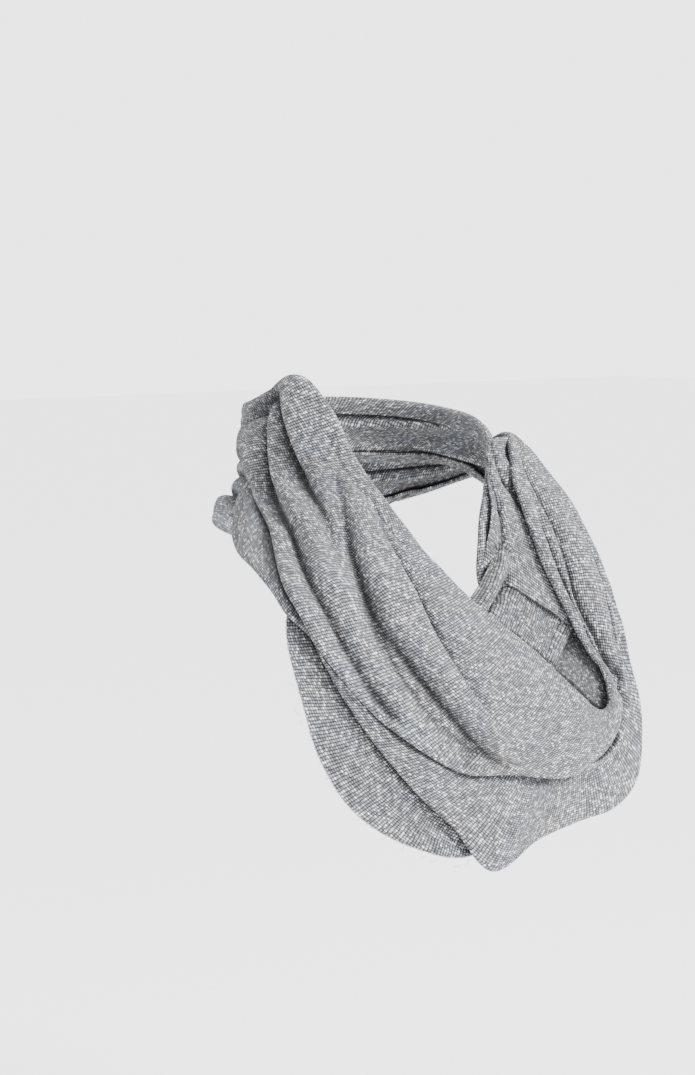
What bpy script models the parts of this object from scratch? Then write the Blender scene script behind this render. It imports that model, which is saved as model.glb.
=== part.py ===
"""Infinity scarf: one band of ribbed knit, joined end to end and worn in two turns round the neck.

The tables are in millimetres and degrees, and the meshes are made in metres, +Z up.
The wearer faces -Y. The origin is on the neck's axis, level with the foot of the neck.
A turn is counted from the nape: 90 is the wearer's right, 180 the front, 270 the wearer's left.
"out" is the distance from the neck's axis and "up" the height above the foot of the neck.
"""
import bpy
import numpy as np

MM = 0.001
WALL = 1.4            # thickness of the knit
SEAM_GAP = 0.7        # between two stretches that meet
SMOOTH_STEP = 4.0     # how softly the cloth leaves the figure
SLOPE_STEP = 0.02     # share of a station over which a slope is read
ROLL_POINTS = 3       # points round a folded edge
END_ROW = 0.12        # length of the row of cells at a seam, in stations
BACK_FOLLOWS = 0.9    # share of the outer folds that the layer behind repeats
DEEPEST_FOLD = 9.0    # crossing folds go no deeper than this together
EDGE_FADE = 8.0       # folds flatten over this distance from an edge
ARCH = 0.7            # below 1 the bulge is fuller near the edges
GROOVE_ROUND = 0.14   # how round the bottom of a groove is, as a share of its reach
THICKEST_EDGE = 0.4   # a folded edge is no thicker than this share of the band's width
WINDING = 720.0       # the band goes twice round

# A general figure: the neck widens into the shoulders and the chest.
FIGURE_COLUMNS = ("up", "half_width", "half_depth")
FIGURE = (
    (120, 60, 64),
    (40, 60, 64),
    (10, 66, 68),
    (-10, 84, 74),
    (-30, 118, 80),
    (-50, 160, 87),
    (-80, 200, 97),
    (-120, 214, 108),
    (-220, 218, 124),
)
FIGURE_SQUARENESS = 2.4

# The winding: the upper and the lower edge of the band at each station, how far it bulges,
# and how near the figure it may lie.
STATION_COLUMNS = ("name", "top_turn", "top_out", "top_up", "low_turn", "low_out", "low_up",
                   "bulge", "stand_off")
STATIONS = (
    ("sweep_0", 101, 68, 77, 56, 77, 34, 4, 8),
    ("sweep_1", 121, 72, 60, 69, 80, 31, 6, 10),
    ("sweep_2", 133, 75, 32, 84, 84, 11, 7, 10),
    ("sweep_3", 147, 85, 4, 107, 107, -8, 8, 12),
    ("sweep_4", 160, 98, -26, 122, 148, -42, 8, 16),
    ("sweep_5", 172, 107, -50, 131, 153, -77, 8, 18),
    ("sweep_6", 185, 116, -71, 144, 149, -115, 7, 20),
    ("sweep_7", 196, 126, -91, 161, 138, -143, 6, 20),
    ("sweep_8", 204, 137, -110, 177, 135, -148, 5, 20),
    ("sweep_9", 208, 142, -117, 192, 140, -153, 4, 20),
    ("sweep_10", 211, 145, -117, 205, 147, -149, 3, 20),
    ("sweep_11", 213, 146, -111, 213, 153, -139, 3, 20),
    ("fall_0", 214, 143, -102, 219, 153, -124, 3, 20),
    ("fall_1", 213, 137, -91, 221, 152, -108, 4, 20),
    ("fall_2", 210, 128, -79, 221, 150, -92, 5, 20),
    ("fall_3", 208, 123, -64, 222, 147, -79, 6, 20),
    ("fall_4", 206, 117, -49, 224, 143, -62, 6, 20),
    ("fall_5", 204, 110, -31, 228, 138, -42, 6, 20),
    ("fall_6", 205, 101, -10, 232, 130, -22, 6, 20),
    ("fall_7", 208, 90, 8, 238, 121, -4, 6, 20),
    ("fall_8", 214, 80, 22, 246, 110, 12, 6, 18),
    ("fall_9", 224, 74, 38, 258, 100, 28, 6, 16),
    ("side_0", 250, 82, 38, 280, 102, 12, 5, 14),
    ("side_1", 285, 90, 25, 312, 103, -8, 6, 14),
    ("nape_low_0", 325, 91, 20, 340, 98, -26, 7, 12),
    ("nape_low_1", 370, 77, 11, 375, 94, -27, 8, 10),
    ("drape_0", 407, 71, 24, 420, 85, -7, 7, 5),
    ("drape_1", 432, 72, 18, 440, 90, -7, 4, 5),
    ("drape_2", 458, 83, -2, 461, 121, -21, 4, 8),
    ("drape_3", 474, 105, -26, 474, 137, -34, 3, 7),
    ("drape_4", 484, 120, -42, 481, 147, -51, 4, 9),
    ("drape_5", 494, 124, -62, 487, 147, -65, 4, 9),
    ("drape_6", 502, 124, -84, 490, 149, -80, 4, 9),
    ("drape_7", 511, 122, -105, 494, 148, -98, 4, 9),
    ("drape_8", 521, 118, -122, 501, 145, -125, 4, 9),
    ("drape_9", 534, 115, -131, 511, 139, -155, 5, 8),
    ("drape_10", 544, 115, -134, 520, 136, -175, 5, 8),
    ("drape_11", 554, 117, -135, 531, 133, -202, 5, 8),
    ("drape_12", 561, 120, -132, 546, 132, -188, 5, 8),
    ("drape_13", 567, 123, -127, 561, 138, -181, 4, 8),
    ("drape_14", 571, 125, -119, 574, 149, -177, 4, 8),
    ("drape_15", 572, 124, -110, 583, 158, -165, 4, 7),
    ("under_0", 571, 120, -100, 588, 161, -142, 2, 6),
    ("under_1", 569, 114, -90, 591, 161, -118, -3, 6),
    ("under_2", 565, 107, -79, 593, 156, -92, -7, 6),
    ("under_3", 558, 99, -67, 595, 150, -65, -8, 6),
    ("under_4", 550, 93, -55, 600, 143, -43, -8, 6),
    ("under_5", 545, 88, -42, 606, 124, -28, -5, 6),
    ("under_6", 549, 80, -20, 613, 106, -12, -2, 6),
    ("under_7", 557, 73, 0, 620, 93, 2, 2, 6),
    ("under_8", 568, 68, 17, 630, 85, 12, 3, 6),
    ("under_9", 583, 66, 32, 642, 82, 17, 4, 6),
    ("nape_0", 610, 67, 46, 662, 81, 18, 4, 8),
    ("nape_1", 650, 69, 54, 692, 82, 17, 4, 8),
    ("nape_2", 700, 70, 58, 718, 83, 16, 5, 8),
    ("nape_3", 745, 69, 57, 742, 82, 18, 5, 8),
    ("nape_4", 786, 67, 61, 762, 78, 26, 4, 8),
)
STATION_NAMES = [row[0] for row in STATIONS]
STATION_SIZES = np.array([row[1:] for row in STATIONS], float)
STATION_COUNT = len(STATIONS)

# The folds: where each runs across the band (0 is the upper edge, 1 the lower one), and its depth.
FOLD_COLUMNS = ("first", "last", "across_first", "across_middle", "across_last",
                "depth_first", "depth_middle", "depth_last", "reach", "lean")
FOLDS = (
    ("nape_2", "sweep_0", 0.42, 0.42, 0.48, 4, 6, 7, 6, 0.0),
    ("sweep_0", "sweep_3", 0.48, 0.72, 0.82, 7, 7, 4, 6, 0.0),
    ("sweep_3", "sweep_6", 0.82, 0.82, 0.80, 4, 4, 0, 6, 0.0),
    ("nape_2", "sweep_0", 0.24, 0.24, 0.28, 2, 4, 6, 5, 0.0),
    ("sweep_0", "sweep_2", 0.28, 0.43, 0.46, 6, 8, 7, 5, 0.0),
    ("sweep_2", "sweep_4", 0.46, 0.56, 0.68, 7, 4, 0, 6, 0.0),
    ("sweep_2", "sweep_5", 0.12, 0.50, 0.69, 0, 7, 10, 7, 0.3),
    ("sweep_5", "sweep_8", 0.69, 0.74, 0.97, 10, 9, 2, 7, 0.3),
    ("sweep_3", "sweep_7", 0.18, 0.42, 0.64, 2, 4, 0, 5, -0.3),
    ("fall_1", "fall_4", 0.70, 0.50, 0.37, 3, 6, 7, 5, 0.2),
    ("fall_4", "fall_8", 0.37, 0.34, 0.24, 7, 6, 0, 5, 0.2),
    ("fall_2", "fall_5", 0.86, 0.72, 0.54, 3, 5, 5, 5, -0.2),
    ("fall_5", "side_0", 0.54, 0.41, 0.30, 5, 5, 5, 6, 0.0),
    ("fall_5", "side_1", 0.80, 0.66, 0.68, 0, 4, 5, 7, 0.0),
    ("side_0", "drape_1", 0.30, 0.36, 0.30, 5, 6, 4, 6, 0.0),
    ("side_1", "nape_low_1", 0.68, 0.60, 0.46, 5, 6, 6, 7, 0.0),
    ("nape_low_1", "drape_1", 0.46, 0.64, 0.90, 6, 7, 4, 6, 0.0),
    ("under_4", "under_9", 0.05, 0.07, 0.06, 1, 4, 2, 3, 0.0),
    ("under_5", "nape_0", 0.08, 0.18, 0.20, 5, 5, 4, 4, 0.0),
    ("nape_0", "nape_2", 0.20, 0.30, 0.42, 4, 5, 4, 6, 0.0),
    ("under_8", "nape_3", 0.60, 0.66, 0.76, 0, 5, 0, 8, 0.0),
)

# The room between the band's outer face and the layer that is folded in behind it.
LINING_COLUMNS = ("station", "fold_gap")
LINING = (
    ("sweep_0", 6.0),
    ("sweep_11", 5.5),
    ("fall_3", 5.0),
    ("side_1", 6.0),
    ("nape_low_1", 6.0),
    ("drape_3", 4.5),
    ("drape_14", 4.5),
    ("under_3", 5.5),
    ("under_9", 5.5),
    ("nape_2", 6.0),
)

# The stretches: first and last place in the winding, in stations, the cells along and across
# the face, and how many of those across are folded in at the upper and the lower edge.
STRETCH_COLUMNS = ("name", "first", "last", "cells_along", "cells_face", "lined", "tucked")
STRETCHES = (
    ("upper_sweep", -1.5, 11.5, 37, 16, 4, 2),
    ("left_outer_fall", 11.5, 22.0, 24, 12, 2, 2),
    ("lower_back_wrap", 22.0, 26.5, 17, 10, 2, 2),
    ("lower_drape", 26.5, 43.5, 36, 10, 1, 2),
    ("left_under_fall", 43.5, 52.0, 19, 12, 2, 1),
    ("upper_back_wrap", 52.0, 55.5, 13, 11, 2, 2),
)

# The flaps: single layers, with one row for each line that crosses them from edge to edge.
FLAP_COLUMNS = ("from_turn", "from_out", "from_up", "to_turn", "to_out", "to_up", "bulge")
HEM_FLAP = (
    (125, 139, -54, 120, 145, -54, 0),
    (127, 143, -67, 121, 152, -67, 0),
    (131, 144, -83, 123, 158, -83, 0),
    (135, 143.3, -101, 125, 159.5, -100, 0),
    (141, 140.6, -122, 128, 160.5, -129, 0),
    (147, 137, -139, 133, 156.5, -156, 0),
    (154, 133, -155, 140, 149.5, -175, 0),
    (159, 131.6, -168, 150, 139.5, -188, 0),
    (165, 129.8, -180, 160, 132.5, -194, 0),
    (169, 129.3, -187, 169, 129.6, -191, 0),
)
TUCKED_FOLD = (
    (212, 78.8, 30, 230, 80, 24, 1),
    (202, 83, 15, 226, 89.5, 6, 2),
    (199, 87, 0, 221, 101, -18, 3),
    (196, 91, -13, 218, 114, -41, 3),
    (194, 93, -21, 216, 124, -66, 2),
    (192, 94, -25, 215, 128, -76, 2),
)
TUCKED_TAB = (
    (194, 90, -19, 169, 101, -58, 0),
    (197, 92, -25, 174, 103, -64, 3),
    (201, 96, -33, 179, 105, -72, 0),
    (206, 104, -47, 186, 109, -83, 1),
    (211, 113, -60, 193, 114, -95, 1),
    (214, 121, -73, 198, 118, -103, 1),
)
TUCKED_CORNER = (
    (212.7, 117.9, -80, 202.8, 116.2, -99, 0),
    (214.3, 121.3, -78, 203.7, 120.1, -104, 0),
    (215.7, 126.7, -81, 205.1, 125.1, -109, 0),
    (217.0, 132.1, -86, 207.3, 130.1, -114, 0),
    (217.8, 137.8, -92, 209.4, 135.3, -119, 0),
    (218.4, 142.3, -98, 211.4, 139.4, -125, 0),
)
FLAPS = (
    # name, rows, cells along, cells across
    ("hem_flap", HEM_FLAP, 30, 4),
    ("tucked_fold", TUCKED_FOLD, 12, 6),
    ("tucked_tab", TUCKED_TAB, 16, 7),
    ("tucked_corner", TUCKED_CORNER, 12, 6),
)

# Colours of the worn yarn, one for each piece, in linear light.
GREY = (0.27, 0.275, 0.285, 1.0)
SHADES = {"hem_flap": 0.92, "tucked_tab": 0.9}
ROUGHNESS = 0.9


def figure_radius(turn, up):
    """Distance from the neck's axis to the figure's skin."""
    across = np.radians(turn)
    rows = np.array(FIGURE, float)[::-1]
    half_width = np.interp(up, rows[:, 0], rows[:, 1])
    half_depth = np.interp(up, rows[:, 0], rows[:, 2])
    wide = (np.abs(np.sin(across)) / half_width) ** FIGURE_SQUARENESS
    deep = (np.abs(np.cos(across)) / half_depth) ** FIGURE_SQUARENESS
    return (wide + deep) ** (-1 / FIGURE_SQUARENESS)


def place(turn, out, up):
    """A point from its turn, its distance from the axis and its height, in millimetres."""
    across = np.radians(turn)
    return np.stack([-out * np.sin(across), out * np.cos(across), up], -1)


def blend_rows(row_at, along):
    """Catmull-Rom curve through the rows of a table."""
    index = np.floor(along).astype(int)
    f = (along - index)[..., None]
    before, start, end, after = (row_at(index + step) for step in (-1, 0, 1, 2))
    line = 2 * start + (end - before) * f
    bend = (2 * before - 5 * start + 4 * end - after) * f ** 2
    return 0.5 * (line + bend + (3 * start - before - 3 * end + after) * f ** 3)


def winding_row(index):
    """The station's sizes; past the last one the winding starts again, two turns further on."""
    sizes = STATION_SIZES[np.mod(index, STATION_COUNT)].copy()
    rounds = np.floor_divide(index, STATION_COUNT) * WINDING
    sizes[..., 0] += rounds
    sizes[..., 3] += rounds
    return sizes


def band_point(along, across):
    """The smooth band without its folds: a point and the station's sizes there."""
    sizes = blend_rows(winding_row, along)
    turn, out, up = (sizes[..., k] * (1 - across) + sizes[..., k + 3] * across for k in range(3))
    resting = figure_radius(turn, up) + sizes[..., 7]
    lifted = 0.5 * (out + resting + np.sqrt((out - resting) ** 2 + SMOOTH_STEP ** 2))
    return place(turn, lifted, up), sizes


def outward(surface, along, across):
    """Unit normals of a surface, pointing away from the neck."""
    step_along = surface(along + SLOPE_STEP, across) - surface(along - SLOPE_STEP, across)
    step_across = surface(along, across + SLOPE_STEP) - surface(along, across - SLOPE_STEP)
    normals = np.cross(step_across, step_along)
    normals /= np.maximum(np.linalg.norm(normals, axis=-1, keepdims=True), 1e-9)
    flat = surface(along, across)
    flat[..., 2] = 0
    return normals * np.sign(np.sum(normals * flat, axis=-1).mean())


def three_way(first, middle, last, f):
    """A value that passes through three numbers at 0, 1/2 and 1."""
    return first * (1 - f) * (1 - 2 * f) + 4 * middle * f * (1 - f) + last * f * (2 * f - 1)


def groove(x):
    """A narrow groove with a round bottom, 1 deep at 0."""
    return np.exp(GROOVE_ROUND - np.hypot(x, GROOVE_ROUND))


def folds_height(along, across, width):
    """Depth of all the folds at one station, below the bulged band."""
    height = np.zeros_like(across)
    for first, last, a0, a1, a2, d0, d1, d2, reach, lean in FOLDS:
        start = STATION_NAMES.index(first)
        end = STATION_NAMES.index(last)
        end += STATION_COUNT * (end < start)
        for rounds in (-STATION_COUNT, 0, STATION_COUNT):
            f = (along + rounds - start) / (end - start)
            if 0 <= f <= 1:
                x = (across - three_way(a0, a1, a2, f)) * width
                side = np.where(x > 0, 1 + lean, 1 - lean)
                height -= max(three_way(d0, d1, d2, f), 0) * groove(x / (reach * side))
    return DEEPEST_FOLD * np.tanh(height / DEEPEST_FOLD)


def fold_gap_at(along):
    """Room between the outer face and the layer behind it at a place in the winding."""
    stations = [STATION_NAMES.index(station) for station, gap in LINING]
    return np.interp(along, stations, [gap for station, gap in LINING], period=STATION_COUNT)


def across_scale(along, across):
    """Millimetres square to the band's run for a whole share across it."""
    step = SLOPE_STEP
    run = band_point(along + step, across)[0] - band_point(along - step, across)[0]
    run /= np.linalg.norm(run, axis=-1, keepdims=True)
    side = (band_point(along, across + step)[0] - band_point(along, across - step)[0]) / (2 * step)
    return np.linalg.norm(side - run * np.sum(side * run, axis=-1, keepdims=True), axis=-1)


def stretch_section(along, cells_face, lined, tucked):
    """One section of a stretch, from the end of its lining, over both folded edges, to its tuck.

    Gives each point's share across the band and its height off it.
    """
    scales = across_scale(np.full(3, along), np.array([0.0, 0.5, 1.0]))
    width = np.dot(scales, (1, 4, 1)) / 6
    half = min(fold_gap_at(along), THICKEST_EDGE * width) / 2
    top_share = half / scales[0]
    low_share = half / scales[2]
    share = np.linspace(top_share, 1 - low_share, cells_face + 1)
    arch = (4 * share * (1 - share)) ** ARCH
    fade = np.clip(np.minimum(share * scales[0], (1 - share) * scales[2]) / EDGE_FADE, 0, 1)
    bulge = band_point(np.array([along]), np.array([0.5]))[1][0, 6]
    face = bulge * arch + folds_height(along, share, width) * fade
    behind_top = BACK_FOLLOWS * (face - face[0]) + face[0] - 2 * half
    behind_low = BACK_FOLLOWS * (face - face[-1]) + face[-1] - 2 * half

    bend = np.linspace(0, np.pi, ROLL_POINTS + 2)
    roll_height = half * (np.cos(bend) - 1)
    roll_share = 1 - np.sin(bend)
    across = np.concatenate([share[lined:0:-1], top_share * roll_share[::-1], share[1:-1],
                             1 - low_share * roll_share, share[-2:-2 - tucked:-1]])
    height = np.concatenate([behind_top[lined:0:-1], face[0] + roll_height[::-1], face[1:-1],
                             face[-1] + roll_height, behind_low[-2:-2 - tucked:-1]])
    return across, height


def seam_share(station, across):
    """Half the seam's gap at each point of a section, in stations."""
    step = SLOPE_STEP
    along = np.full(len(across), float(station))
    run = (band_point(along + step, across)[0] - band_point(along - step, across)[0]) / (2 * step)
    side = band_point(along, across + step)[0] - band_point(along, across - step)[0]
    side /= np.linalg.norm(side, axis=-1, keepdims=True)
    square = run - side * np.sum(run * side, axis=-1, keepdims=True)
    return np.minimum(SEAM_GAP / 2 / np.linalg.norm(square, axis=-1), END_ROW / 2)


def stretch_grid(first, last, cells_along, *cells_across):
    """Points of one stretch of the band, in rows across it.

    The first and the last row lie beyond its ends and only give the slope there.
    """
    inner = np.linspace(first + END_ROW, last - END_ROW, cells_along - 1)
    along = np.concatenate([[first - END_ROW, first], inner, [last, last + END_ROW]])
    sections = [stretch_section(station, *cells_across) for station in along]
    across = np.array([section[0] for section in sections])
    height = np.array([section[1] for section in sections])
    stations = np.repeat(along[:, None], across.shape[1], axis=1)
    stations[1] += seam_share(first, across[1])
    stations[-2] -= seam_share(last, across[-2])
    normals = outward(lambda u, v: band_point(u, v)[0], stations, across)
    return band_point(stations, across)[0] + normals * height[..., None]


def flap_grid(rows, cells_along, cells_across):
    """Points of a flap: a curve through its rows, bulged between its two edges."""
    table = np.array(rows, float)

    def row_at(index):
        inside = np.clip(index, 0, len(table) - 1)
        beyond = (index - inside)[..., None]
        ends = np.where(beyond < 0, table[1] - table[0], table[-1] - table[-2])
        return table[inside] + beyond * ends

    def sheet(along, across):
        sizes = blend_rows(row_at, along)
        turn, out, up = (sizes[..., k] * (1 - across) + sizes[..., k + 3] * across for k in range(3))
        return place(turn, out + sizes[..., 6] * 4 * across * (1 - across), up)

    along, across = np.meshgrid(np.linspace(0, len(table) - 1, cells_along + 1),
                                np.linspace(0, 1, cells_across + 1), indexing="ij")
    return sheet(along, across)


def yarn(name):
    """The knit's plain finish for one piece."""
    material = bpy.data.materials.new(name + "_yarn")
    material.use_nodes = True
    shader = material.node_tree.nodes["Principled BSDF"]
    shade = SHADES.get(name, 1.0)
    shader.inputs["Base Color"].default_value = tuple(shade * c for c in GREY[:3]) + (1.0,)
    shader.inputs["Roughness"].default_value = ROUGHNESS
    shader.inputs["Metallic"].default_value = 0.0
    return material


def wall_normals(grid):
    """Unit normals of a grid of points, away from the neck where the cloth faces outward."""
    normals = np.cross(grid_slope(grid, 1), grid_slope(grid, 0))
    return normals / np.linalg.norm(normals, axis=-1, keepdims=True)


def grid_slope(grid, axis):
    """Slope at each point of a grid, the mean of the directions to its two neighbours."""
    steps = np.diff(grid, axis=axis)
    steps /= np.linalg.norm(steps, axis=-1, keepdims=True)
    ends = [(1, 0), (0, 0), (0, 0)] if axis == 0 else [(0, 0), (1, 0), (0, 0)]
    before = np.pad(steps, ends, mode="edge")
    after = np.pad(steps, [pad[::-1] for pad in ends], mode="edge")
    return before + after


def cloth_piece(name, grid, collection, spare_rows):
    """A closed wall of knit, its outer face on a grid of points."""
    middle = tuple(count // 2 for count in grid.shape[:2])
    if np.dot(wall_normals(grid)[middle][:2], grid[middle][:2]) < 0:
        grid = grid[:, ::-1]
    behind = grid - WALL * wall_normals(grid)
    kept = slice(spare_rows, len(grid) - spare_rows)
    outer, inner = grid[kept], behind[kept]
    rows, columns = outer.shape[:2]
    index = np.arange(rows * columns).reshape(rows, columns)
    rim = np.concatenate([index[0, :-1], index[:-1, -1], index[-1, :0:-1], index[:0:-1, 0]])
    after = np.roll(rim, -1)
    face = np.stack([index[:-1, :-1], index[:-1, 1:], index[1:, 1:], index[1:, :-1]], -1).reshape(-1, 4)
    side = np.stack([after, rim, rim + index.size, after + index.size], -1)
    cells = np.concatenate([face, face[:, [0, 3, 2, 1]] + index.size, side])
    points = np.concatenate([outer.reshape(-1, 3), inner.reshape(-1, 3)]) * MM
    mesh = bpy.data.meshes.new(name)
    mesh.from_pydata(points.tolist(), [], cells.tolist())
    mesh.shade_smooth()
    mesh.materials.append(yarn(name))
    collection.objects.link(bpy.data.objects.new(name, mesh))


def main():
    for item in list(bpy.data.objects):
        bpy.data.objects.remove(item)
    collection = bpy.data.collections.new("infinity_scarf")
    bpy.context.scene.collection.children.link(collection)
    for name, first, last, *cells in STRETCHES:
        cloth_piece(name, stretch_grid(first, last, *cells), collection, 1)
    for name, *flap in FLAPS:
        cloth_piece(name, flap_grid(*flap), collection, 0)


main()
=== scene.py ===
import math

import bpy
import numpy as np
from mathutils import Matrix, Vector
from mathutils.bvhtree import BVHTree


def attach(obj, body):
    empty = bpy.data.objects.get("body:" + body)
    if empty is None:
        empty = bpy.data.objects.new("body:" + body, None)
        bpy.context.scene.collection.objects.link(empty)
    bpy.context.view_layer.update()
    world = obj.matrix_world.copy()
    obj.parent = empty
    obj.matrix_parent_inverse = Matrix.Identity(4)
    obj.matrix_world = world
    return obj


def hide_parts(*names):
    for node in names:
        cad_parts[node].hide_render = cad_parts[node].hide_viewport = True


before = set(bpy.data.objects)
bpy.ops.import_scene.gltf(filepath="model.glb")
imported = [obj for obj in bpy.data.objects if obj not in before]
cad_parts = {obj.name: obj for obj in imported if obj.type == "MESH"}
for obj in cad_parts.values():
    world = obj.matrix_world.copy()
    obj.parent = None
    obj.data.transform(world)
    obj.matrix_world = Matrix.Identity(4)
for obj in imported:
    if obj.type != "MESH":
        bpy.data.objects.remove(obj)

# Infinity scarf: one band of ribbed marl knit, joined end to end and worn in two turns.
# The tables are in millimetres and degrees; meshes and materials are in metres.
# A turn is counted from the nape: 90 is the wearer's right, 180 the front, 270 the left.
# "out" is the distance from the neck's axis and "up" the height above the foot of the neck.

MM = 0.001
WALL = 1.4            # thickness of the knit
SMOOTH_STEP = 4.0     # how softly the cloth leaves the figure
SLOPE_STEP = 0.02     # step along and across the band over which a slope is read
BACK_FOLLOWS = 0.9    # share of the outer folds that the layer behind repeats
DEEPEST_FOLD = 19.0   # crossing folds go no deeper than this together
EDGE_FADE = 5.0       # folds flatten over this distance from an edge
ARCH = 0.7            # below 1 the bulge is fuller near the edges
GROOVE_ROUND = 0.18   # how round the bottom of a groove is, as a share of its reach
SHOULDER = 2.2        # how far a roll's round shoulder reaches, in reaches of its groove
FOLD_SHADE = 0.6      # how dark the painted shade at the bottom of the deepest fold is
SHADE_BREADTH = 0.5   # how broad that painted shade line is, in reaches of its fold
ROLLED = 0.65         # 1 for round rolls beside a groove, 0 for hollow slopes
THICKEST_EDGE = 0.4   # a folded edge is no thicker than this share of the band's width
WINDING = 720.0       # the band goes twice round
JOIN = -1.5           # where the loop's two ends are sewn together, in stations

ROWS = 560            # lines of points across the band, round the whole winding
RUN_LINES = 12        # lines to a station, by which the run is measured
FACE_CELLS = 92       # cells across it, for its face, each folded edge and what is folded in
ROLL_CELLS = 9
LINING_CELLS = 9
TUCK_CELLS = 7
SHARPEST_BEND = 70    # degrees that are still shaded round
TURNED = (0, 3, 2, 1)     # order of a cell's corners that makes it face the other way

# Loose cloth: small waves, with so many rounds to the whole run and so many millimetres broad.
WAVES = 16
WAVE_ROUNDS = (6, 52)
WAVE_BREADTHS = (22, 90)
LONG_WAVE = 14        # a wave of this many rounds is half as high as one long one
WAVE_SUM = 3          # about how high the waves are together
BAND_SLACK = 0.9
BAND_SEED = 11
FLAP_SLACK = 0.5
FLAP_ROUND = 700      # a flap's waves are taken from a run of this length

# What stands out of its surroundings, painted shade in hollows and a painted highlight on crests: how
# often these are smoothed, and the rise of a full crest.
BAND_CREST = (26, 1.9)
FLAP_CREST = (10, 1.2)

# Painted shade: a point's colour is darkened by how much nearby cloth closes it in, standing in for the
# shade in creases.
CREASE_RINGS = 3      # how finely each point looks round for the cloth that closes it in
CREASE_SPOKES = 6
CREASE_REACH = 0.026     # in metres, as are the next two
CREASE_START = 0.0004
CONTACT_REACH = 0.005    # cloth that nearly touches gets a thin line of painted contact shadow
CONTACT_WEIGHT = 0.4

RIB_PITCH = 1.75
STITCH_PITCH = 1.4

# A general figure: the neck widens into the shoulders and the chest.
# Columns: up, half the width, half the depth.
FIGURE = (
    (120, 60, 64),
    (40, 60, 64),
    (10, 66, 68),
    (-10, 84, 74),
    (-30, 118, 80),
    (-50, 160, 87),
    (-80, 200, 97),
    (-120, 214, 108),
    (-220, 218, 124),
)
FIGURE_SQUARENESS = 2.4

# The winding. Columns: name; turn, out and up of the upper edge; the same of the lower edge;
# how far the band bulges; how near the figure it may lie.
STATIONS = (
    ("sweep_0", 101, 68, 77, 56, 77, 34, 4, 8),
    ("sweep_1", 121, 72, 60, 69, 80, 31, 6, 10),
    ("sweep_2", 133, 75, 32, 84, 84, 11, 7, 10),
    ("sweep_3", 147, 85, 4, 107, 107, -8, 8, 12),
    ("sweep_4", 160, 98, -26, 122, 148, -42, 8, 16),
    ("sweep_5", 172, 107, -50, 131, 153, -77, 8, 18),
    ("sweep_6", 185, 116, -71, 144, 149, -115, 7, 20),
    ("sweep_7", 196, 126, -91, 161, 138, -143, 6, 20),
    ("sweep_8", 204, 137, -110, 177, 135, -148, 5, 20),
    ("sweep_9", 208, 142, -117, 192, 140, -153, 4, 20),
    ("sweep_10", 211, 145, -117, 205, 147, -149, 3, 20),
    ("sweep_11", 213, 146, -111, 213, 153, -139, 3, 20),
    ("fall_0", 214, 143, -102, 219, 153, -124, 3, 20),
    ("fall_1", 213, 137, -91, 221, 152, -108, 4, 20),
    ("fall_2", 210, 128, -79, 221, 150, -92, 5, 20),
    ("fall_3", 208, 123, -64, 222, 147, -79, 6, 20),
    ("fall_4", 206, 117, -49, 224, 143, -62, 6, 20),
    ("fall_5", 204, 110, -31, 228, 138, -42, 6, 20),
    ("fall_6", 205, 101, -10, 232, 130, -22, 6, 20),
    ("fall_7", 208, 90, 8, 238, 121, -4, 6, 20),
    ("fall_8", 214, 80, 22, 246, 110, 12, 6, 18),
    ("fall_9", 224, 74, 38, 258, 100, 28, 6, 16),
    ("side_0", 250, 82, 38, 280, 102, 12, 5, 14),
    ("side_1", 285, 90, 25, 312, 103, -8, 6, 14),
    ("nape_low_0", 325, 91, 20, 340, 98, -26, 7, 12),
    ("nape_low_1", 370, 77, 11, 375, 94, -27, 8, 10),
    ("drape_0", 407, 71, 24, 420, 85, -7, 7, 5),
    ("drape_1", 432, 72, 18, 440, 90, -7, 4, 5),
    ("drape_2", 458, 83, -2, 461, 121, -21, 4, 8),
    ("drape_3", 474, 105, -26, 474, 137, -34, 3, 7),
    ("drape_4", 484, 120, -42, 481, 147, -51, 4, 9),
    ("drape_5", 494, 124, -62, 487, 147, -65, 4, 9),
    ("drape_6", 502, 124, -84, 490, 149, -80, 4, 9),
    ("drape_7", 511, 122, -105, 494, 148, -98, 4, 9),
    ("drape_8", 521, 118, -122, 501, 145, -125, 4, 9),
    ("drape_9", 534, 115, -131, 511, 139, -155, 5, 8),
    ("drape_10", 544, 115, -134, 520, 136, -175, 5, 8),
    ("drape_11", 554, 117, -135, 531, 133, -202, 5, 8),
    ("drape_12", 561, 120, -132, 546, 132, -188, 5, 8),
    ("drape_13", 567, 123, -127, 561, 138, -181, 4, 8),
    ("drape_14", 571, 125, -119, 574, 149, -177, 4, 8),
    ("drape_15", 572, 124, -110, 583, 158, -165, 4, 7),
    ("under_0", 571, 120, -100, 588, 161, -142, 2, 6),
    ("under_1", 569, 114, -90, 591, 161, -118, -3, 6),
    ("under_2", 565, 107, -79, 593, 156, -92, -7, 6),
    ("under_3", 558, 99, -67, 595, 150, -65, -8, 6),
    ("under_4", 550, 93, -55, 600, 143, -43, -8, 6),
    ("under_5", 545, 88, -42, 606, 124, -28, -5, 6),
    ("under_6", 549, 80, -20, 613, 106, -12, -2, 6),
    ("under_7", 557, 73, 0, 620, 93, 2, 2, 6),
    ("under_8", 568, 68, 17, 630, 85, 12, 3, 6),
    ("under_9", 583, 66, 32, 642, 82, 17, 4, 6),
    ("nape_0", 610, 67, 46, 662, 81, 18, 4, 8),
    ("nape_1", 650, 69, 54, 692, 82, 17, 4, 8),
    ("nape_2", 700, 70, 58, 718, 83, 16, 5, 8),
    ("nape_3", 745, 69, 57, 742, 82, 18, 5, 8),
    ("nape_4", 786, 67, 61, 762, 78, 26, 4, 8),
)
STATION_NAMES = [row[0] for row in STATIONS]
STATION_SIZES = np.array([row[1:] for row in STATIONS], float)
STATION_COUNT = len(STATIONS)

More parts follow.
